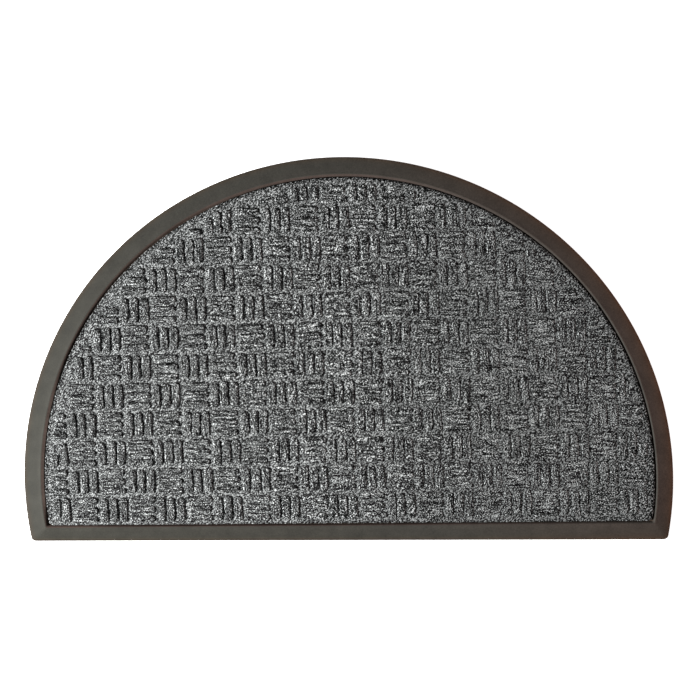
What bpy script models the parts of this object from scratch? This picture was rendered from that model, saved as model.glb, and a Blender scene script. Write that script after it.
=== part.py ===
"""Half round doormat: a moulded rubber backing with a bevelled border, and a needle-punched
carpet inlay whose pile is embossed in a parquet of three upright bars beside three level ones.

Metres, +Z up. The underside lies on z = 0, X runs along the straight edge and +Y is towards the
arc. The origin is under the middle of the outline's bounding box. Each piece is drawn about the
centre of its arc.
"""

import math

import bmesh
import bpy
from mathutils import Matrix, Vector

# Outline: a disc cut by a straight edge a little below its centre
RADIUS = 0.375
EDGE_BELOW_CENTRE = 0.070
DEPTH = RADIUS + EDGE_BELOW_CENTRE
DISC_CENTRE = Vector((0.0, EDGE_BELOW_CENTRE - DEPTH / 2, 0.0))
ARC_STEPS = 96
CORNER_STEPS = 4

# Rubber backing, from the rim to the recess: (inset from the outline, height, corner radius,
# share of the recess's turn and shift)
FLOOR_THICKNESS = 0.0020
CREST_HEIGHT = 0.0057
BACKING_SECTION = (
    (0.0000, 0.0000, 0.0060, 0.0),
    (0.0000, 0.0010, 0.0060, 0.0),
    (0.0005, 0.0015, 0.0056, 0.0),
    (0.0173, 0.0053, 0.0030, 1.0),
    (0.0184, CREST_HEIGHT, 0.0028, 1.0),
    (0.0193, 0.0056, 0.0026, 1.0),
    (0.0198, 0.0051, 0.0025, 1.0),
    (0.0207, FLOOR_THICKNESS, 0.0025, 1.0),
)
RECESS_TURN = math.radians(0.25)  # against the outline, about the disc's centre
RECESS_SHIFT = Vector((0.0012, 0.0002, 0.0))
RECESS_NEARER_EDGE = 0.0009  # the border is narrower along the straight edge

# Carpet inlay: it lies loosely in the recess, with a groove left all round it
BED_GAP = 0.0003
CARPET_TURN = math.radians(0.28)
CARPET_SHIFT = Vector((0.0018, 0.0004, 0.0))
CARPET_RADIUS = RADIUS - 0.0228
CARPET_BELOW_CENTRE = EDGE_BELOW_CENTRE - 0.0205
CARPET_CORNER = 0.0060
CARPET_TOP = 0.0058
CARPET_SECTION = (
    (0.0000, FLOOR_THICKNESS + BED_GAP, CARPET_CORNER, 0.0),
    (0.0000, CARPET_TOP - 0.0016, CARPET_CORNER, 0.0),
    (0.0005, CARPET_TOP - 0.0007, CARPET_CORNER, 0.0),
    (0.0018, CARPET_TOP, CARPET_CORNER, 0.0),
)

# Parquet: square cells of three bars each, upright and level cells in turn
CELL = 0.03338
BARS_IN_CELL = 3
CELL_ORIGIN = Vector((-0.0060, 0.0374))  # middle of an upright cell, from the arc's centre
PARQUET_TURN = math.radians(0.55)  # from the carpet's straight edge
CELLS_EACH_WAY = 12
BAR_PITCH = CELL / BARS_IN_CELL
BAR_HALF_WIDTH = 0.0045
BAR_HALF_LENGTH = 0.0144
BAR_SLOPE = 0.0019  # how far each side leans in
BAR_HEIGHT = 0.0022
BAR_ROOT = 0.0004  # sunk into the sheet before the union
ARC_MARGIN = 0.0062  # left flat inside the carpet's arc
EDGE_MARGIN = 0.0020  # left flat along its straight edge
NARROWEST_BAR = 0.6  # of the full width


def clear_scene():
    for obj in list(bpy.data.objects):
        bpy.data.objects.remove(obj)


def collection(name):
    made = bpy.data.collections.new(name)
    bpy.context.scene.collection.children.link(made)
    return made


def material(name, colour, roughness, metallic=0.0):
    made = bpy.data.materials.new(name)
    made.use_nodes = True
    shader = made.node_tree.nodes["Principled BSDF"]
    shader.inputs["Base Color"].default_value = (*colour, 1.0)
    shader.inputs["Roughness"].default_value = roughness
    shader.inputs["Metallic"].default_value = metallic
    return made


def placed_object(name, mesh, turn=0.0, shift=Vector()):
    """An object of the mesh, which is drawn about its arc's centre, turned and moved there."""
    data = bpy.data.meshes.new(name)
    mesh.to_mesh(data)
    mesh.free()
    made = bpy.data.objects.new(name, data)
    made.location = DISC_CENTRE + shift
    made.rotation_euler.z = turn
    return made


def half_round(radius, below_centre, corner):
    """Points of a disc cut by a straight edge, its two corners rounded, about its centre."""
    corner_y = corner - below_centre
    corner_x = math.sqrt((radius - corner) ** 2 - corner_y**2)
    tangent = math.atan2(corner_y, corner_x)
    arcs = (
        (0.0, 0.0, radius, tangent, math.pi - tangent, ARC_STEPS),
        (-corner_x, corner_y, corner, math.pi - tangent, 1.5 * math.pi, CORNER_STEPS),
        (corner_x, corner_y, corner, -0.5 * math.pi, tangent, CORNER_STEPS),
    )
    points = []
    for x, y, size, start, end, steps in arcs:
        for step in range(steps + 1):
            angle = start + (end - start) * step / steps
            points.append(Vector((x + size * math.cos(angle), y + size * math.sin(angle), 0.0)))
    closed = zip(points, points[-1:] + points[:-1])
    return [point for point, before in closed if (point - before).length > 1e-6]


def lofted(name, radius, below_centre, section, turn=0.0, shift=Vector()):
    """A closed solid through the section's rings, its lowest and its last ring filled flat."""
    mesh = bmesh.new()
    rings = []
    for inset, height, corner, share in section:
        up = Vector((0.0, 0.0, height))
        turned = Matrix.Rotation(share * RECESS_TURN, 3, "Z")
        below = below_centre - inset + share * RECESS_NEARER_EDGE
        outline = half_round(radius - inset, below, corner)
        moved = [turned @ point + share * RECESS_SHIFT + up for point in outline]
        rings.append([mesh.verts.new(point) for point in moved])
    mesh.faces.new(reversed(rings[0]))
    mesh.faces.new(rings[-1])
    for lower, upper in zip(rings, rings[1:]):
        for index in range(len(lower)):
            mesh.faces.new((lower[index - 1], lower[index], upper[index], upper[index - 1]))
    return placed_object(name, mesh, turn, shift)


def clear_of_edge(middle, half_length, half_width, along):
    """The bar cut back from the straight edge, in its length if it is upright, else in its width."""
    reach = half_length * abs(along.y) + half_width * abs(along.x)
    past_edge = max(0.0, EDGE_MARGIN - CARPET_BELOW_CENTRE - (middle.y - reach))
    middle = middle + Vector((0.0, past_edge / 2))
    if abs(along.y) > abs(along.x):
        half_length -= past_edge / 2
    else:
        half_width -= past_edge / 2
    return middle, half_length, half_width


def clear_of_arc(middle, half_length, half_width, along):
    """The bar cut back in its length until both its sides end inside the arc's margin."""
    radius = CARPET_RADIUS - ARC_MARGIN
    start, end = -half_length, half_length
    for side in (-half_width, half_width):
        point = middle + side * along.orthogonal()
        reach = point.dot(along) ** 2 - point.length_squared + radius**2
        half_chord = math.sqrt(max(0.0, reach))
        start = max(start, -point.dot(along) - half_chord)
        end = min(end, -point.dot(along) + half_chord)
    return middle + (start + end) / 2 * along, (end - start) / 2


def parquet_bars():
    """(middle, direction, half length, half width) of each bar, about the arc's centre."""
    turn = Matrix.Rotation(PARQUET_TURN, 2)
    bars = []
    for row in range(-CELLS_EACH_WAY, CELLS_EACH_WAY + 1):
        for column in range(-CELLS_EACH_WAY, CELLS_EACH_WAY + 1):
            upright = (row + column) % 2 == 0
            along = turn @ (Vector((0.0, 1.0)) if upright else Vector((1.0, 0.0)))
            cell = CELL_ORIGIN + turn @ Vector((column, row)) * CELL
            for bar in range(BARS_IN_CELL):
                middle = cell + (bar - (BARS_IN_CELL - 1) / 2) * BAR_PITCH * along.orthogonal()
                middle, half_length, half_width = clear_of_edge(
                    middle, BAR_HALF_LENGTH, BAR_HALF_WIDTH, along
                )
                middle, half_length = clear_of_arc(middle, half_length, half_width, along)
                if half_length >= half_width >= NARROWEST_BAR * BAR_HALF_WIDTH:
                    bars.append((middle, along, half_length, half_width))
    return bars


def bars_mesh():
    """Every bar as a block whose sides and ends lean in, its root sunk below the sheet's top."""
    mesh = bmesh.new()
    root_lean = -BAR_SLOPE * BAR_ROOT / BAR_HEIGHT
    for middle, along, half_length, half_width in parquet_bars():
        turned = Matrix.Rotation(math.atan2(along.y, along.x), 4, "Z")
        place = Matrix.Translation((*middle, CARPET_TOP)) @ turned
        for vertex in bmesh.ops.create_cube(mesh, size=2.0)["verts"]:
            top = vertex.co.z > 0.0
            lean = BAR_SLOPE if top else root_lean
            vertex.co.x *= half_length - lean
            vertex.co.y *= half_width - lean
            vertex.co.z = BAR_HEIGHT if top else -BAR_ROOT
            vertex.co = place @ vertex.co
    return mesh


def rubber_backing(parts):
    backing = lofted("rubber_backing", RADIUS, EDGE_BELOW_CENTRE, BACKING_SECTION)
    backing.data.materials.append(material("dark_rubber", (0.070, 0.066, 0.058), 0.62))
    backing.data.shade_smooth()
    backing.data.set_sharp_from_angle(angle=math.radians(35))
    parts.objects.link(backing)


def carpet_inlay(parts, cutters):
    bars = placed_object("parquet_bars", bars_mesh(), CARPET_TURN, CARPET_SHIFT)
    bars.hide_render = True
    bars.display_type = "WIRE"
    cutters.objects.link(bars)
    size = CARPET_RADIUS, CARPET_BELOW_CENTRE
    carpet = lofted("carpet_inlay", *size, CARPET_SECTION, CARPET_TURN, CARPET_SHIFT)
    carpet.data.materials.append(material("grey_needle_punch", (0.125, 0.125, 0.125), 0.95))
    parts.objects.link(carpet)
    raised = carpet.modifiers.new("parquet", "BOOLEAN")
    raised.operation = "UNION"
    raised.object = bars


def main():
    clear_scene()
    parts = collection("half_round_doormat")
    cutters = collection("cutters")
    rubber_backing(parts)
    carpet_inlay(parts, cutters)


main()
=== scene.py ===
"""Half round doormat, dressed: a moulded rubber tray and the needle-punched carpet in it.

The measures repeat the CAD's, in metres. Each piece is drawn about the centre of its arc.
"""

import math

import bpy
import numpy as np
from mathutils import Matrix, Vector
from mathutils.geometry import delaunay_2d_cdt


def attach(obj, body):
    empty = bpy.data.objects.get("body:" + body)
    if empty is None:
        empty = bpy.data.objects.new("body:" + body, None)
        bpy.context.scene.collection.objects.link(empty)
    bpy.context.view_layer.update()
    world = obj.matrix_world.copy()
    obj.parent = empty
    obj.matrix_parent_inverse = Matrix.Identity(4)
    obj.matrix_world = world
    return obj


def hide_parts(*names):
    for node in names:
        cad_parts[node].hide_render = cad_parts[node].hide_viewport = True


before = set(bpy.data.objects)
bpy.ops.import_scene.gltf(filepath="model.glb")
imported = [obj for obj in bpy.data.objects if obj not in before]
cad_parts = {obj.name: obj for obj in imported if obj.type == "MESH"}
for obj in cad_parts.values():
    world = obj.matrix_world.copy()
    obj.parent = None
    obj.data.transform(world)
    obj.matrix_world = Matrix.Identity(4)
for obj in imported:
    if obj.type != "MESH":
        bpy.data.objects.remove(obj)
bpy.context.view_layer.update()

# Outline: a disc cut by a straight edge a little below its centre
RADIUS = 0.375
EDGE_BELOW_CENTRE = 0.070
DISC_CENTRE = Vector((0.0, EDGE_BELOW_CENTRE - (RADIUS + EDGE_BELOW_CENTRE) / 2, 0.0))

# Rubber: (inset from the outline, height, corner radius), from the underside to the crest
FLOOR_THICKNESS = 0.0020
BORDER_SECTION = (
    (0.00030, 0.00000, 0.0058),
    (0.00000, 0.00020, 0.0060),
    (0.00000, 0.00080, 0.0060),
    (0.00010, 0.00110, 0.0059),
    (0.00035, 0.00133, 0.0057),
    (0.00080, 0.00154, 0.0055),
    (0.00300, 0.00205, 0.0051),
    (0.00600, 0.00274, 0.0046),
    (0.00900, 0.00343, 0.0041),
    (0.01200, 0.00412, 0.0036),
    (0.01500, 0.00480, 0.0032),
    (0.01660, 0.00519, 0.0031),
    (0.01740, 0.00544, 0.0030),
    (0.01800, 0.00563, 0.0029),
    (0.01850, 0.00570, 0.0028),
)
# From the crest to the recess, where a groove is left round the carpet and where it is filled
OPEN_GROOVE = (
    (0.01890, 0.00566, 0.0027),
    (0.01920, 0.00552, 0.0026),
    (0.01950, 0.00525, 0.0025),
    (0.01980, 0.00480, 0.0025),
    (0.02050, 0.00320, 0.0025),
    (0.02075, 0.00240, 0.0025),
    (0.02100, FLOOR_THICKNESS, 0.0025),
)
SHALLOW_GROOVE = (
    (0.01900, 0.00565, 0.0027),
    (0.01950, 0.00552, 0.0026),
    (0.02000, 0.00534, 0.0025),
    (0.02080, 0.00506, 0.0025),
    (0.02180, 0.00472, 0.0025),
    (0.02270, 0.00440, 0.0025),
    (0.02300, FLOOR_THICKNESS, 0.0025),
)
# How far the groove is filled, by the angle about the disc's centre, in degrees
GROOVE_FILLED = (
    (0, 0.2),
    (20, 0.3),
    (45, 0.4),
    (60, 0.65),
    (112, 0.70),
    (120, 0.50),
    (156, 0.50),
    (164, 1.0),
    (184, 1.1),
    (188, 0.4),
    (192, 0.0),
    (300, 0.0),
    (345, 0.2),
    (360, 0.2),
)
RECESS_TURN = math.radians(0.25)  # against the outline, about the disc's centre
RECESS_SHIFT = 0.0012, 0.0002
RECESS_NEARER_EDGE = 0.0009  # the border is narrower along the straight edge
RECESS_INSET = 0.0171  # from here in, the border follows the recess
TRAY_STEPS = 400, 90, 9  # along the arc, the straight edge and each corner

# The rubber's colour at the left, in the middle and at the right: painted light, darker at the
# left and lighter and redder at the right, evening out the key light's falloff and as painted warm
# light from the right
BORDER_COLOURS = (0.0240, 0.0233, 0.0194), (0.0323, 0.0300, 0.0257), (0.0495, 0.0355, 0.0295)
# In the recess, painted light as well: redder at the left, painted warm light on the walls that
# face right, and darker and greener at the right, painted to match the key light on the walls that
# face left
RECESS_COLOURS = (0.0440, 0.0310, 0.0260), (0.0430, 0.0310, 0.0265), (0.0360, 0.0340, 0.0300)
# Painted light too: near the straight edge the colour is taken less far towards the right one
NEAR_EDGE = -0.215, -0.185  # over this Y, the straight edge's colour nears the arc's
NEAR_EDGE_SHARE = 0.75  # of the way to the right, for the straight edge's colour
# Its tint from the floor up to TINT_TOP: browner at the rim and in the groove, and more so towards
# the right, painted warm light from the right; paler near the crest, a painted highlight
TINT_TOP = 0.006
TINT = (
    (0.12, (1.28, 0.91, 0.70)),
    (0.26, (1.16, 0.94, 0.80)),
    (0.38, (1.04, 0.99, 0.94)),
    (0.50, 1.0),
    (0.72, 1.0),
    (0.84, 1.08),
    (0.95, 1.04),
)
WARM_TINT = (
    (0.12, (1.60, 0.88, 0.48)),
    (0.26, (1.40, 0.92, 0.60)),
    (0.38, (1.16, 0.96, 0.82)),
    (0.55, (1.07, 0.99, 0.92)),
    (0.80, 1.0),
    (0.95, 1.04),
)
WARM_FROM_TO = 0.5, 0.95  # of the way to the right

# Carpet, a little turned in the recess
CARPET_TURN = math.radians(0.28)
CARPET_SHIFT = Vector((0.0018, 0.0004, 0.0))
CARPET_RADIUS = RADIUS - 0.0228
CARPET_BELOW_CENTRE = EDGE_BELOW_CENTRE - 0.0205
CARPET_CORNER = 0.0060
CARPET_TOP = 0.0058
CARPET_SECTION = (
    (0.00000, FLOOR_THICKNESS + 0.0003, 0.0060),
    (0.00000, 0.00400, 0.0060),
    (0.00012, 0.00470, 0.0059),
    (0.00045, 0.00520, 0.0056),
    (0.00105, 0.00555, 0.0050),
    (0.00220, 0.00575, 0.0040),
)
CARPET_STEPS = 560, 320, 8  # along the arc, the straight edge and each corner
GRID_STEP = 0.0021
GRID_REACH = 1.1  # of the carpet's radius
GRID_MARGIN = 0.0031  # from the carpet's edge to its grid
GRID_JITTER = 0.25  # of a step, each way
EVEN_STEPS = 4  # from the carpet's edge, without jitter
LAST_RING_RELIEF = 0.6  # of the grid's
SAME_POINT = 1e-9
SMALLEST_AREA = 1e-11  # twice that of a triangle

# Parquet of raised bars: square cells of three bars each, upright and level cells in turn
CELL = 0.03338
BARS_IN_CELL = 3
CELL_ORIGIN = Vector((-0.0060, 0.0374))
PARQUET_TURN = math.radians(0.55)
CELLS_EACH_WAY = 12
BAR_PITCH = CELL / BARS_IN_CELL
BAR_HALF_WIDTH = 0.0045
BAR_HALF_LENGTH = 0.0144
BAR_HEIGHT = 0.0022
ARC_MARGIN = 0.0062
EDGE_MARGIN = 0.0020
NARROWEST_BAR = 0.6  # of the full width

# The bars' own section: (inset from the bar's outline, share of its height), from its root
LEVEL_BAR_NARROWER = 0.0002  # at each side
BAR_CORNER = 0.0040
BAR_ROOT = -0.0005
BAR_SECTION = (
    (0.00000, 0.00),
    (0.00010, 0.30),
    (0.00028, 0.55),
    (0.00058, 0.74),
    (0.00100, 0.865),
    (0.00160, 0.945),
    (0.00240, 0.99),
    (0.00340, 1.01),
)
BAR_END_FLAT = 0.0001  # left between an end's two corners, at each side of its middle
BAR_TOP_FLAT = 0.0006  # left on top, at each side of its middle
BAR_STEP = 0.00118  # along the outline
FEWEST_BAR_STEPS = 8  # along half the outline
BAR_GROUPS = 2  # of each direction

# How the bars differ, as spreads, and how they wear flat towards the right
BAR_WIDTH_SPREAD = 0.00015
BAR_LENGTH_SPREAD = 0.00040
BAR_HEIGHT_SHARE = 0.90, 1.06
BAR_TURN_SPREAD = 0.015
BAR_PLACE_SPREAD = 0.00024
WORN_PLACE_SPREAD = 0.00040  # added where they are worn
BAR_ROUGHNESS = 0.00007
WORN_FROM, WORN_OVER = -0.26, 0.42  # along X
WORN_AWAY = 0.55  # of the height, at the right

# Felt's kinds: the ragged dark edge, (place along X, width) at the straight edge, and the dark
# tuft felt on the sheet between the bars, painted shade in the grooves
EDGE_WIDTH = 0.0036
STRAIGHT_EDGE_WIDTHS = (-0.24, 0.0006), (-0.05, 0.0022), (0.30, 0.0024)
STRAIGHT_EDGE_REACH = 0.006
EDGE_RAGGEDNESS = 0.0007
GROOVE_SHADE_ACROSS = BAR_PITCH * 0.65  # from a cell's middle
GROOVE_SHADE_ALONG = BAR_HALF_LENGTH - 0.0022
GROOVE_SHADE_INSET = ARC_MARGIN + 0.0020

# Felt's noises: their scales, and how far two of them move it about
GRAIN = 900.0
FLECKS = 1.25 * GRAIN
ROWS = 500.0
ROW_DRAWN_OUT = 7.0
DRIFT = 28.0, 0.005
TANGLE = 420.0, 0.0007
SLANT = 0.75  # where the fibres lie across the bars
# Its tones, from the gaps to the tips, and its contrast and tone from the left to the right; the
# tone is painted shade, darker towards the right for the key light's falloff
GROUND_TONES = (0.27, 0.004), (0.38, 0.018), (0.48, 0.058), (0.58, 0.145), (0.72, 0.400)
# The tufts' tones, darker than the ground's: partly the looped pile's own tone, partly painted
# shade among the loops
TUFT_AND_SHADE_TONES = (
    (0.29, 0.001),
    (0.40, 0.006),
    (0.50, 0.026),
    (0.60, 0.112),
    (0.73, 0.420),
    (0.86, 0.880),
)
FELT_TINT = 0.965, 1.0, 1.005
FELT_LEFT_RIGHT = -0.35, 0.35
FELT_SPREAD = (0.0, 0.98), (0.4, 1.12), (0.6, 1.34), (0.8, 1.66), (1.0, 1.66)
FELT_PAINTED_FALLOFF = (0.0, 0.84), (0.3, 0.87), (0.5, 0.80), (0.65, 0.61), (0.8, 0.55), (1.0, 0.58)

CAMERA_PLACE = 0.29605, 0.64963, 3.95249
CAMERA_BACK = 0.0721, 0.1617, 0.9842
CAMERA_UP = 0.00646, 0.98667, -0.16258
CAMERA_LENS = 180.2
FLOOR_SIZE = 9.0  # each way
FLOOR_DROP = 0.0002  # below the underside

rng = np.random.default_rng(11)


class Field:
    """Smooth random numbers over the carpet, read between the points of a grid."""

    REACH = 0.4  # each way, a little past the carpet

    def __init__(self, step, spread):
        self.step, self.half = step, int(self.REACH / step)
        self.values = rng.standard_normal((2 * self.half + 2,) * 2) * spread

    def at(self, points):
        place = points[:, :2] / self.step + self.half
        corner = np.floor(place).astype(int)
        x, y = (place - corner).T
        x, y = x * x * (3 - 2 * x), y * y * (3 - 2 * y)
        i, j = corner.T
        low = self.values[i, j] * (1 - x) + self.values[i + 1, j] * x
        high = self.values[i, j + 1] * (1 - x) + self.values[i + 1, j + 1] * x
        return low * (1 - y) + high * y


RELIEF = Field(0.0019, 0.00012), Field(0.0043, 0.00009), Field(0.012, 0.00008)
RELIEF_NOISE = 0.00006
WANDER = Field(0.0060, 0.00034), Field(0.0060, 0.00034)


def relief(points):
    """The felt's own unevenness, as heights."""
    return sum(field.at(points) for field in RELIEF) + rng.normal(0, RELIEF_NOISE, len(points))


def object_of(name, points, faces, material, slot, turn=0.0, shift=Vector()):
    """A smooth-shaded piece, drawn about the disc's centre, turned and put there in its mesh."""
    data = bpy.data.meshes.new(name)
    data.from_pydata(points.tolist(), [], [list(face) for face in faces])
    data.transform(Matrix.Translation(DISC_CENTRE + shift) @ Matrix.Rotation(turn, 4, "Z"))
    data.materials.append(material)
    data.shade_smooth()
    data.update()
    made = bpy.data.objects.new(name, data)
    bpy.context.scene.collection.objects.link(made)
    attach(made, "root")
    return made


def half_round(radius, below_centre, corner, arc_steps, edge_steps, corner_steps):
    """The outline's points, anticlockwise from the arc's right end."""
    corner_y = corner - below_centre
    corner_x = math.sqrt((radius - corner) ** 2 - corner_y**2)
    tangent = math.atan2(corner_y, corner_x)
    edge = -corner_x + 2 * corner_x * np.arange(edge_steps) / edge_steps

    def arc(x, y, size, start, end, steps):
        angle = start + (end - start) * np.arange(steps) / steps
        return np.stack([x + size * np.cos(angle), y + size * np.sin(angle)], 1)

    return np.concatenate(
        [
            arc(0.0, 0.0, radius, tangent, math.pi - tangent, arc_steps),
            arc(-corner_x, corner_y, corner, math.pi - tangent, 1.5 * math.pi, corner_steps),
            np.stack([edge, np.full(edge_steps, -below_centre)], 1),
            arc(corner_x, corner_y, corner, -0.5 * math.pi, tangent, corner_steps),
        ]
    )


def ring_quads(count, rings):
    """Quads between each ring and the next, with the count of points in a ring."""
    here = np.arange(count)
    after = (here + 1) % count
    quads = np.stack([here, after, after + count, here + count], 1)
    return np.concatenate([quads + low * count for low in range(rings - 1)])


def rings_of(radius, below_centre, section, steps, nearer_edge=0.0):
    """The section's rings as one array of points, the quads between them, and a ring's size."""
    rings = []
    for inset, height, corner in section:
        below = below_centre - inset + min(inset / RECESS_INSET, 1.0) * nearer_edge
        outline = half_round(radius - inset, below, corner, *steps)
        rings.append(np.column_stack([outline, np.full(len(outline), height)]))
    count = len(rings[0])
    return np.concatenate(rings), ring_quads(count, len(rings)), count


def tray_mesh():
    """The tray's points and faces, and which of its faces lie inside the crest."""
    size, detail = (RADIUS, EDGE_BELOW_CENTRE), (TRAY_STEPS, RECESS_NEARER_EDGE)
    points, quads, count = rings_of(*size, BORDER_SECTION + OPEN_GROOVE, *detail)
    shallow = rings_of(*size, BORDER_SECTION + SHALLOW_GROOVE, *detail)[0]
    angle = np.degrees(np.arctan2(points[:, 1], points[:, 0])) % 360
    points += (shallow - points) * np.interp(angle, *zip(*GROOVE_FILLED))[:, None]

    insets = np.array([inset for inset, _, _ in BORDER_SECTION + OPEN_GROOVE])
    share = np.repeat(np.clip(insets / RECESS_INSET, 0, 1), count)
    turn = share * RECESS_TURN
    x, y = points[:, :2].T.copy()
    points[:, 0] = x * np.cos(turn) - y * np.sin(turn) + share * RECESS_SHIFT[0]
    points[:, 1] = x * np.sin(turn) + y * np.cos(turn) + share * RECESS_SHIFT[1]

    faces = quads.tolist()
    faces.append(list(range(count - 1, -1, -1)))
    faces.append(list(range(len(points) - count, len(points))))
    rows = len(BORDER_SECTION) + len(OPEN_GROOVE) - 1
    in_recess = np.arange(len(faces)) >= len(faces) * len(BORDER_SECTION) / rows
    in_recess[-2] = False  # the underside
    return points, faces, in_recess


def inset_of(points):
    """How far in from the carpet's outline each point is."""
    from_arc = CARPET_RADIUS - np.hypot(points[:, 0], points[:, 1])
    from_edge = points[:, 1] + CARPET_BELOW_CENTRE
    short = np.maximum(CARPET_CORNER - np.stack([from_arc, from_edge], 1), 0)
    corner = CARPET_CORNER - np.hypot(short[:, 0], short[:, 1])
    return np.where((short > 0).all(1), corner, np.minimum(from_arc, from_edge))


def sheet_grid():
    """The grid's points, a little out of line, its quads, and which cells it has, as a table."""
    half = int(GRID_REACH * CARPET_RADIUS / GRID_STEP)
    size = 2 * half + 1
    index = np.arange(-half, half + 1) * GRID_STEP
    flat = np.stack(np.meshgrid(index, index, indexing="ij"), -1).reshape(-1, 2)
    inset = inset_of(flat)
    inside = (inset > GRID_MARGIN).reshape(size, size)
    kept = inside[:-1, :-1] & inside[1:, :-1] & inside[1:, 1:] & inside[:-1, 1:]
    i, j = np.nonzero(kept)
    quads = np.stack(
        [i * size + j, (i + 1) * size + j, (i + 1) * size + j + 1, i * size + j + 1], 1
    )
    used, where = np.unique(quads, return_inverse=True)
    within = np.clip(inset[used] / GRID_STEP - EVEN_STEPS, 0, 1)[:, None]
    jitter = rng.uniform(-GRID_JITTER, GRID_JITTER, (len(used), 2))
    flat = flat[used] + jitter * GRID_STEP * within
    points = np.column_stack([flat, CARPET_TOP + relief(flat)])
    return points, where.reshape(quads.shape), kept


def triangles_between(points, last_ring, quads, kept):
    """Triangles from the last ring, after which the grid's points come, to the grid's border."""
    edges = np.sort(np.concatenate([np.roll(quads, -k, 1)[:, :2] for k in range(4)]), 1)
    edges, uses = np.unique(edges, axis=0, return_counts=True)
    border = edges[uses == 1]
    band = np.concatenate([last_ring, np.unique(border)])
    place = np.full(len(points), -1)
    place[band] = np.arange(len(band))
    loop = np.stack([last_ring, np.roll(last_ring, -1)], 1)
    _, _, found, origins, _, _ = delaunay_2d_cdt(
        [Vector(point) for point in points[band, :2]],
        place[np.concatenate([loop, border])].tolist(),
        [],
        0,
        SAME_POINT,
    )
    source = np.array([origin[0] for origin in origins])
    triangles = band[source[np.array(found)]]
    cell = np.floor(points[triangles, :2].mean(1) / GRID_STEP).astype(int) + len(kept) // 2
    over_grid = kept[tuple(np.clip(cell, 0, len(kept) - 1).T)]
    over_grid &= (triangles > last_ring[-1]).all(1)
    a, b, c = points[triangles, :2].transpose(1, 0, 2)
    area = (b - a)[:, 0] * (c - a)[:, 1] - (b - a)[:, 1] * (c - a)[:, 0]
    return triangles[~over_grid & (area > SMALLEST_AREA)]


def sheet_mesh():
    """A closed sheet: rings round its edge, a grid inside them, and triangles between."""
    rings, quads_of_rings, count = rings_of(
        CARPET_RADIUS, CARPET_BELOW_CENTRE, CARPET_SECTION, CARPET_STEPS
    )
    last_ring = len(rings) - count + np.arange(count)
    rings[last_ring, 2] += relief(rings[last_ring]) * LAST_RING_RELIEF
    grid, quads, kept = sheet_grid()
    quads += len(rings)
    points = np.concatenate([rings, grid])
    triangles = triangles_between(points, last_ring, quads, kept)
    faces = [*quads_of_rings.tolist(), *quads.tolist(), *triangles.tolist()]
    faces.append(list(range(count - 1, -1, -1)))
    return points, faces


def felt_kind(centres):
    """0 on the open ground, 1 and 2 between upright and level bars, where dark tuft felt is
    painted shade in the grooves, 3 in a ragged dark edge.
    """
    inset = inset_of(centres)
    at_edge = centres[:, 1] + CARPET_BELOW_CENTRE < STRAIGHT_EDGE_REACH
    at_edge &= centres[:, 0] < STRAIGHT_EDGE_WIDTHS[-1][0]
    along_edge = np.interp(centres[:, 0], *zip(*STRAIGHT_EDGE_WIDTHS))
    ragged = rng.normal(0.0, EDGE_RAGGEDNESS, len(inset))
    strip = inset < ragged + np.where(at_edge, along_edge, EDGE_WIDTH)
    cos, sin = math.cos(PARQUET_TURN), math.sin(PARQUET_TURN)
    x, y = (centres - np.array(CELL_ORIGIN)).T / CELL
    place = np.stack([x * cos + y * sin, y * cos - x * sin], 1)
    cell = np.round(place)
    across, along = np.abs(place - cell).T * CELL
    level = cell.sum(1) % 2 == 1
    across[level], along[level] = along[level], across[level]
    # Painted shade: the dark tuft felt in the grooves between a cell's bars
    between = (across < GROOVE_SHADE_ACROSS) & (along < GROOVE_SHADE_ALONG) & (inset > GROOVE_SHADE_INSET)
    return np.where(strip, 3, np.where(between, np.where(level, 2, 1), 0))


def is_level(along):
    return abs(along.x) > abs(along.y)


def clear_of_edge(middle, half_length, half_width, along):
    """The bar cut back from the straight edge, in its width if it is level, else in its length."""
    reach = half_length * abs(along.y) + half_width * abs(along.x)
    past_edge = max(0.0, EDGE_MARGIN - CARPET_BELOW_CENTRE - (middle.y - reach))
    middle = middle + Vector((0.0, past_edge / 2))
    if is_level(along):
        half_width -= past_edge / 2
    else:
        half_length -= past_edge / 2
    return middle, half_length, half_width


def clear_of_arc(middle, half_length, half_width, along):
    """The bar cut back in its length until both its sides end inside the arc's margin."""
    radius = CARPET_RADIUS - ARC_MARGIN
    start, end = -half_length, half_length
    for side in (-half_width, half_width):
        point = middle + side * along.orthogonal()
        reach = point.dot(along) ** 2 - point.length_squared + radius**2
        half_chord = math.sqrt(max(0.0, reach))
        start = max(start, -point.dot(along) - half_chord)
        end = min(end, -point.dot(along) + half_chord)
    return middle + (start + end) / 2 * along, (end - start) / 2


def parquet_bars():
    """(middle, direction, half length, half width) of each bar, about the disc's centre."""
    turn = Matrix.Rotation(PARQUET_TURN, 2)
    bars = []
    for row in range(-CELLS_EACH_WAY, CELLS_EACH_WAY + 1):
        for column in range(-CELLS_EACH_WAY, CELLS_EACH_WAY + 1):
            upright = (row + column) % 2 == 0
            along = turn @ (Vector((0.0, 1.0)) if upright else Vector((1.0, 0.0)))
            cell = CELL_ORIGIN + turn @ Vector((column, row)) * CELL
            for bar in range(BARS_IN_CELL):
                middle = cell + (bar - (BARS_IN_CELL - 1) / 2) * BAR_PITCH * along.orthogonal()
                middle, half_length, half_width = clear_of_edge(
                    middle, BAR_HALF_LENGTH, BAR_HALF_WIDTH, along
                )
                middle, half_length = clear_of_arc(middle, half_length, half_width, along)
                if half_length >= half_width >= NARROWEST_BAR * BAR_HALF_WIDTH:
                    bars.append((middle, along, half_length, half_width))
    return bars


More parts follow.
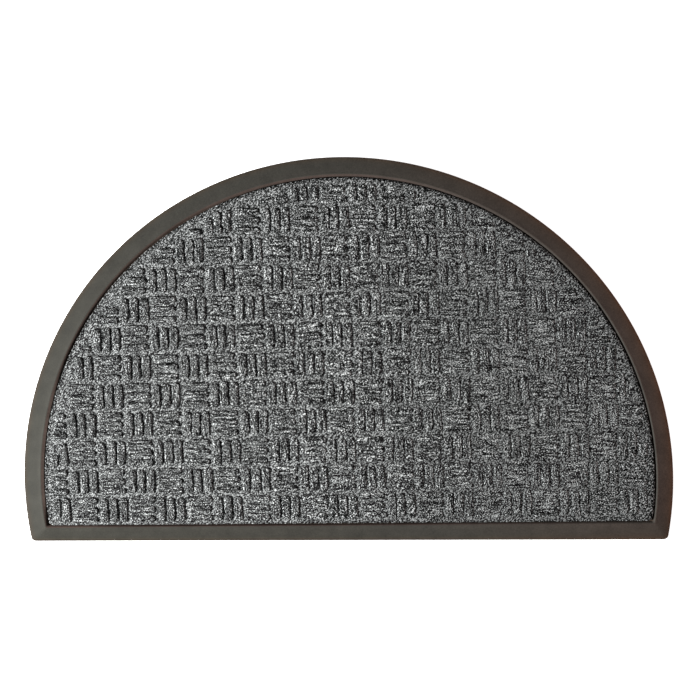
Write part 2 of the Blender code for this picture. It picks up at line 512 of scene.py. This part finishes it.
def half_bar(half_length, half_width, corner):
    """Points of the core and directions out of it, from a bar's lower end up its right side."""
    wide, long = half_width - corner, half_length - corner
    bend = corner * math.pi / 2
    total = 2 * (wide + bend + long)
    steps = max(FEWEST_BAR_STEPS, round(total / BAR_STEP))
    at = total * np.arange(steps + 1) / steps
    from_end = np.minimum(at, total - at)
    angle = np.clip((from_end - wide) / corner, 0, math.pi / 2) - math.pi / 2
    core_x = np.minimum(from_end, wide)
    core_y = -long + np.maximum(from_end - wide - bend, 0)
    flip = np.where(at > total / 2, -1.0, 1.0)
    core = np.stack([core_x, core_y * flip], 1)
    out = np.stack([np.cos(angle), np.sin(angle) * flip], 1)
    return core, out


def bar_rings(half_length, half_width, height):
    """A bar's rings up its sides and over its edge, as one array, and a ring's size."""
    corner = min(BAR_CORNER, half_width - BAR_END_FLAT)
    core, out = half_bar(half_length, half_width, corner)
    rings = []
    for inset, share in BAR_SECTION:
        inset = min(inset, half_width - BAR_TOP_FLAT)
        shrink = np.array([1.0, 1.0])
        if inset > corner:
            spare = np.maximum([half_width - corner, half_length - corner], 1e-6)
            shrink = np.maximum(1 - (inset - corner) / spare, 0.0)
        right = core * shrink + out * max(corner - inset, 0.0)
        left = right[-2:0:-1] * [-1.0, 1.0]
        ring = np.concatenate([right, left])
        up = BAR_ROOT if share == 0.0 else share * height
        rings.append(np.column_stack([ring, np.full(len(ring), up)]))
    return np.concatenate(rings), len(rings[0])


def bar_mesh(middle, along, half_length, half_width):
    """One bar, with its own small differences: its rings, and faces across the top."""
    if is_level(along):
        half_width -= LEVEL_BAR_NARROWER
    half_width += rng.normal(0, BAR_WIDTH_SPREAD)
    half_length += rng.normal(0, BAR_LENGTH_SPREAD)
    worn = min(max((middle.x - WORN_FROM) / WORN_OVER, 0.0), 1.0)
    height = BAR_HEIGHT * rng.uniform(*BAR_HEIGHT_SHARE) * (1 - WORN_AWAY * worn)
    points, count = bar_rings(half_length, half_width, height)
    rough = rng.normal(0, BAR_ROUGHNESS, points.shape)
    rough[:count] = 0.0
    points += rough

    faces = ring_quads(count, len(BAR_SECTION)).tolist()
    steps = count // 2
    top = len(points) - count
    mirror = [top, *range(top + count - 1, top + steps, -1), top + steps]
    for k in range(steps):
        quad = (top + k, top + k + 1, mirror[k + 1], mirror[k])
        faces.append(list(dict.fromkeys(quad)))

    along = Matrix.Rotation(rng.normal(0, BAR_TURN_SPREAD), 2) @ along
    across = np.array([along.y, -along.x])
    middle = np.array(middle) + rng.normal(0, BAR_PLACE_SPREAD + WORN_PLACE_SPREAD * worn, 2)
    flat = middle + points[:, :1] * across + points[:, 1:2] * np.array(along)
    return np.column_stack([flat, points[:, 2]]), faces


def bars_mesh(bars):
    """Several bars as one mesh, uneven as the sheet is."""
    points, faces, start = [], [], 0
    for bar in bars:
        bar_points, bar_faces = bar_mesh(*bar)
        points.append(bar_points)
        faces += [[index + start for index in face] for face in bar_faces]
        start += len(bar_points)
    points = np.concatenate(points)
    shift = np.stack([field.at(points) for field in WANDER], 1)
    heights = CARPET_TOP + points[:, 2] + relief(points) * (points[:, 2] > 0)
    return np.column_stack([points[:, :2] + shift, heights]), faces


class Nodes:
    """A material's node tree, with short calls to add and join its nodes."""

    def __init__(self, name):
        self.material = bpy.data.materials.new(name)
        self.material.use_nodes = True
        self.tree = self.material.node_tree
        self.place = self.add("TexCoord").outputs["Object"]

    def add(self, kind, inputs=(), **settings):
        node = self.tree.nodes.new("ShaderNode" + kind)
        for name, value in settings.items():
            setattr(node, name, value)
        for name, value in dict(inputs).items():
            self.set(node, name, value)
        return node

    def set(self, node, name, value):
        """Joins a socket or a node's first output to the input, or gives it a value."""
        socket = node.inputs[name]
        if isinstance(value, bpy.types.NodeSocket):
            self.tree.links.new(value, socket)
        elif isinstance(value, bpy.types.Node):
            self.tree.links.new(value.outputs[0], socket)
        else:
            socket.default_value = value

    def ramp(self, value, stops):
        """A colour or a grey tone by the value, through (value, colour) stops."""
        node = self.add("ValToRGB", {"Fac": value})
        elements = node.color_ramp.elements
        while len(elements) < len(stops):
            elements.new(0.5)
        for element, (position, colour) in zip(elements, stops):
            element.position = position
            element.color = (*(colour if isinstance(colour, tuple) else (colour,) * 3), 1.0)
        return node

    def share(self, value, start, end, least=0.0):
        """How far the value is from start to end, from least up to 1."""
        return self.add(
            "MapRange", {"Value": value, "From Min": start, "From Max": end, "To Min": least}
        )

    def noise(self, vector, scale, detail=0.0, roughness=0.5):
        return self.add(
            "TexNoise",
            {"Vector": vector, "Scale": scale, "Detail": detail, "Roughness": roughness},
        )

    def math(self, operation, *values):
        return self.add("Math", enumerate(values), operation=operation)

    def vector(self, operation, *values):
        return self.add("VectorMath", enumerate(values), operation=operation)

    def weighted(self, first, *others):
        """The sum of the values, each times its weight."""
        total = self.math("MULTIPLY", *first)
        for value, weight in others:
            total = self.math("ADD", total, self.math("MULTIPLY", value, weight))
        return total

    def axes(self):
        """The place's X, Y and Z."""
        return self.add("SeparateXYZ", {0: self.place}).outputs

    def moved(self, vector, scale, reach):
        """The vector, moved about in X and Y by a noise."""
        noise = self.noise(self.place, scale).outputs["Color"]
        return self.vector("ADD", vector, self.vector("MULTIPLY", noise, (reach, reach, 0.0)))

    def drawn(self, vector, lie, drawn_out):
        """The vector, for a texture that is drawn out along the angle lie."""
        return self.add(
            "Mapping",
            {"Vector": vector, "Rotation": (0.0, 0.0, lie), "Scale": (drawn_out, 1.0, 1.0)},
            vector_type="TEXTURE",
        )

    def bump(self, strength, depth, height):
        return self.add("Bump", {"Strength": strength, "Distance": depth, "Height": height})

    def finished(self, inputs):
        """The material, with these inputs set on its shader."""
        for name, value in inputs.items():
            self.set(self.tree.nodes["Principled BSDF"], name, value)
        return self.material


def rubber_material(name, colours):
    """Dark moulded rubber, finely grained, with painted light: lighter and redder towards the
    right, browner at the rim as painted warm light, paler at the crest as a painted highlight.
    """
    nodes = Nodes(name)
    x, y, z = nodes.axes()
    # Painted light: the colour by X, darker at the left, lighter and redder at the right
    near_edge = nodes.share(y, *NEAR_EDGE, NEAR_EDGE_SHARE)
    towards_right = nodes.math("MULTIPLY", nodes.share(x, -RADIUS, RADIUS), near_edge)
    tone = nodes.ramp(towards_right, list(zip((0.0, 0.5, 1.0), colours)))
    # Painted light: the tint by height, warm at the rim and pale at the crest, and warmer towards
    # the right
    up = nodes.share(z, 0.0, TINT_TOP)
    tint = nodes.add(
        "MixRGB",
        {
            "Fac": nodes.share(towards_right, *WARM_FROM_TO),
            "Color1": nodes.ramp(up, TINT),
            "Color2": nodes.ramp(up, WARM_TINT),
        },
    )
    cloud = nodes.noise(nodes.place, 55.0, detail=3.0, roughness=0.6)
    speck = nodes.noise(nodes.place, 700.0, detail=2.0, roughness=0.7)
    grain = nodes.noise(nodes.place, 1500.0, detail=2.0, roughness=0.6)
    mottle = nodes.weighted((cloud, 0.35), (speck, 0.50))
    shaded = nodes.vector("MULTIPLY", tone, nodes.ramp(mottle, ((0.29, 0.70), (0.56, 1.28))))
    return nodes.finished(
        {
            "Base Color": nodes.vector("MULTIPLY", shaded, tint),
            "Roughness": nodes.ramp(speck, ((0.3, 0.64), (0.7, 0.80))),
            "Specular IOR Level": 0.12,
            "Normal": nodes.bump(0.5, 0.00012, grain),
        }
    )


def felt_material(name, lie, drawn_out, stops, fleck_share, bump_depth, row_share=0.0):
    """Needle-punched fibres: flecks and a grain drawn out the way they lie, and rows of tufts;
    darker towards the right, painted shade for the key light's falloff.
    """
    nodes = Nodes(name)
    moved = nodes.moved(nodes.place, *DRIFT)
    drawn = nodes.drawn(nodes.moved(moved, *TANGLE), lie, drawn_out)
    fleck = nodes.add("TexVoronoi", {"Vector": drawn, "Scale": FLECKS}).outputs["Color"]
    fibre = nodes.noise(drawn, GRAIN)
    fine_share = 1 - fleck_share - row_share
    shares = [(nodes.add("SeparateXYZ", {0: fleck}), fleck_share), (fibre, fine_share)]
    if row_share:
        shares.append((nodes.noise(nodes.drawn(moved, lie, ROW_DRAWN_OUT), ROWS), row_share))

    along = nodes.share(nodes.axes()["X"], *FELT_LEFT_RIGHT)
    regained = 1 / math.hypot(fine_share, row_share)  # of the contrast that mixing takes
    spread = nodes.ramp(along, [(at, share * regained) for at, share in FELT_SPREAD])
    centred = nodes.math("SUBTRACT", nodes.weighted(*shares), 0.5)
    stretched = nodes.math("MULTIPLY_ADD", centred, spread, 0.5)
    tones = [(at, tuple(tone * tint for tint in FELT_TINT)) for at, tone in stops]
    # Painted shade: the tones times a ramp by X that darkens them towards the right, for the key
    # light's falloff
    colour = nodes.vector(
        "MULTIPLY", nodes.ramp(stretched, tones), nodes.ramp(along, FELT_PAINTED_FALLOFF)
    )
    return nodes.finished(
        {
            "Base Color": colour,
            "Roughness": 0.95,
            "Specular IOR Level": 0.05,
            "Normal": nodes.bump(0.8, bump_depth, fibre),
        }
    )


def ground_material():
    """The open ground between the cells: flat needled fibres, paler and streaky."""
    return felt_material(
        "grey_needle_punch", SLANT, 1.9, GROUND_TONES, fleck_share=0.06, bump_depth=0.0003
    )


def tuft_material(name, lie, row_share=0.0, drawn_out=1.0, share=1.0):
    """On and between the bars: upright tufts in rows along them, with dark gaps between. Darker
    than the ground, partly the pile's own tone and partly painted shade among the loops; between
    the bars it is painted shade in the grooves.
    """
    stops = [(at, tone * share) for at, tone in TUFT_AND_SHADE_TONES]
    return felt_material(
        name, lie, drawn_out, stops, fleck_share=0.05, bump_depth=0.0004, row_share=row_share
    )


def floor_material():
    """Plain and pale, and lit from within so that it renders white."""
    nodes = Nodes("pale_floor")
    cloud = nodes.noise(nodes.place, 3.0, detail=2.0)
    return nodes.finished(
        {
            "Base Color": nodes.ramp(cloud, ((0.3, 0.91), (0.7, 0.93))),
            "Roughness": 0.9,
            "Emission Color": (1.0, 1.0, 1.0, 1.0),
            "Emission Strength": 0.85,
        }
    )


def area_light(name, place, size, power, colour):
    """A round light that is aimed at the mat."""
    data = bpy.data.lights.new(name, "AREA")
    data.shape = "DISK"
    data.size = size
    data.energy = power
    data.color = colour
    made = bpy.data.objects.new(name, data)
    made.location = place
    made.rotation_euler = (-Vector(place)).to_track_quat("-Z", "Y").to_euler()
    bpy.context.scene.collection.objects.link(made)


def set_stage():
    """The floor, a key light from the left, a weak one from the right, and an even sky."""
    far = FLOOR_SIZE
    corners = [(-far, -far, 0), (far, -far, 0), (far, far, 0), (-far, far, 0)]
    data = bpy.data.meshes.new("floor")
    data.from_pydata(corners, [], [(0, 1, 2, 3)])
    data.materials.append(floor_material())
    floor = bpy.data.objects.new("floor", data)
    floor.location.z = -FLOOR_DROP
    bpy.context.scene.collection.objects.link(floor)

    area_light("key", (-1.46, -0.43, 0.90), size=0.32, power=98.0, colour=(1.0, 1.0, 0.985))
    area_light("fill", (2.0, 0.2, 0.36), size=0.5, power=19.5, colour=(1.0, 0.80, 0.76))
    world = bpy.data.worlds.new("studio")
    world.use_nodes = True
    sky = world.node_tree.nodes["Background"].inputs
    sky["Color"].default_value = (1.0, 1.0, 1.0, 1.0)
    sky["Strength"].default_value = 0.14
    bpy.context.scene.world = world
    bpy.context.scene.view_settings.view_transform = "Standard"


def set_camera():
    """The photo's camera: a long lens, tilted about 10 degrees off the vertical."""
    data = bpy.data.cameras.new("camera")
    data.lens = CAMERA_LENS
    data.sensor_width = 36.0
    data.clip_end = 20.0
    camera = bpy.data.objects.new("camera", data)
    back = Vector(CAMERA_BACK).normalized()
    right = Vector(CAMERA_UP).cross(back).normalized()
    turn = Matrix((right, back.cross(right), back)).transposed().to_4x4()
    camera.matrix_world = Matrix.Translation(CAMERA_PLACE) @ turn
    bpy.context.scene.collection.objects.link(camera)
    bpy.context.scene.camera = camera


def add_tray():
    border = rubber_material("dark_rubber", BORDER_COLOURS)
    points, faces, in_recess = tray_mesh()
    tray = object_of("rubber_tray", points, faces, border, "dark_rubber")
    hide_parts("rubber_backing")
    tray.data.materials.append(rubber_material("dark_rubber_recess", RECESS_COLOURS))
    tray.data.polygons.foreach_set("material_index", in_recess.astype(int))


def add_carpet():
    # The tufts' felt on the bars, and as painted shade in the grooves between them
    tufts = {
        "upright": tuft_material("grey_needle_punch_upright", math.pi / 2, row_share=0.19),
        "level": tuft_material("grey_needle_punch_level", 0.0, row_share=0.26),
    }
    edge = tuft_material("grey_needle_punch_edge", SLANT, drawn_out=1.7, share=0.65)
    laid = "grey_needle_punch", CARPET_TURN, CARPET_SHIFT
    points, faces = sheet_mesh()
    carpet = object_of("carpet", points, faces, ground_material(), *laid)
    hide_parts("carpet_inlay")
    for material in (*tufts.values(), edge):
        carpet.data.materials.append(material)
    centres = np.array([points[face, :2].mean(0) for face in faces])
    carpet.data.polygons.foreach_set("material_index", felt_kind(centres))

    for way, material in tufts.items():
        bars = [bar for bar in parquet_bars() if is_level(bar[1]) == (way == "level")]
        for group in range(BAR_GROUPS):
            start, end = (len(bars) * k // BAR_GROUPS for k in (group, group + 1))
            mesh = bars_mesh(bars[start:end])
            object_of(f"{way}_ribs_{group + 1}", *mesh, material, *laid)


set_camera()
set_stage()
add_tray()
add_carpet()
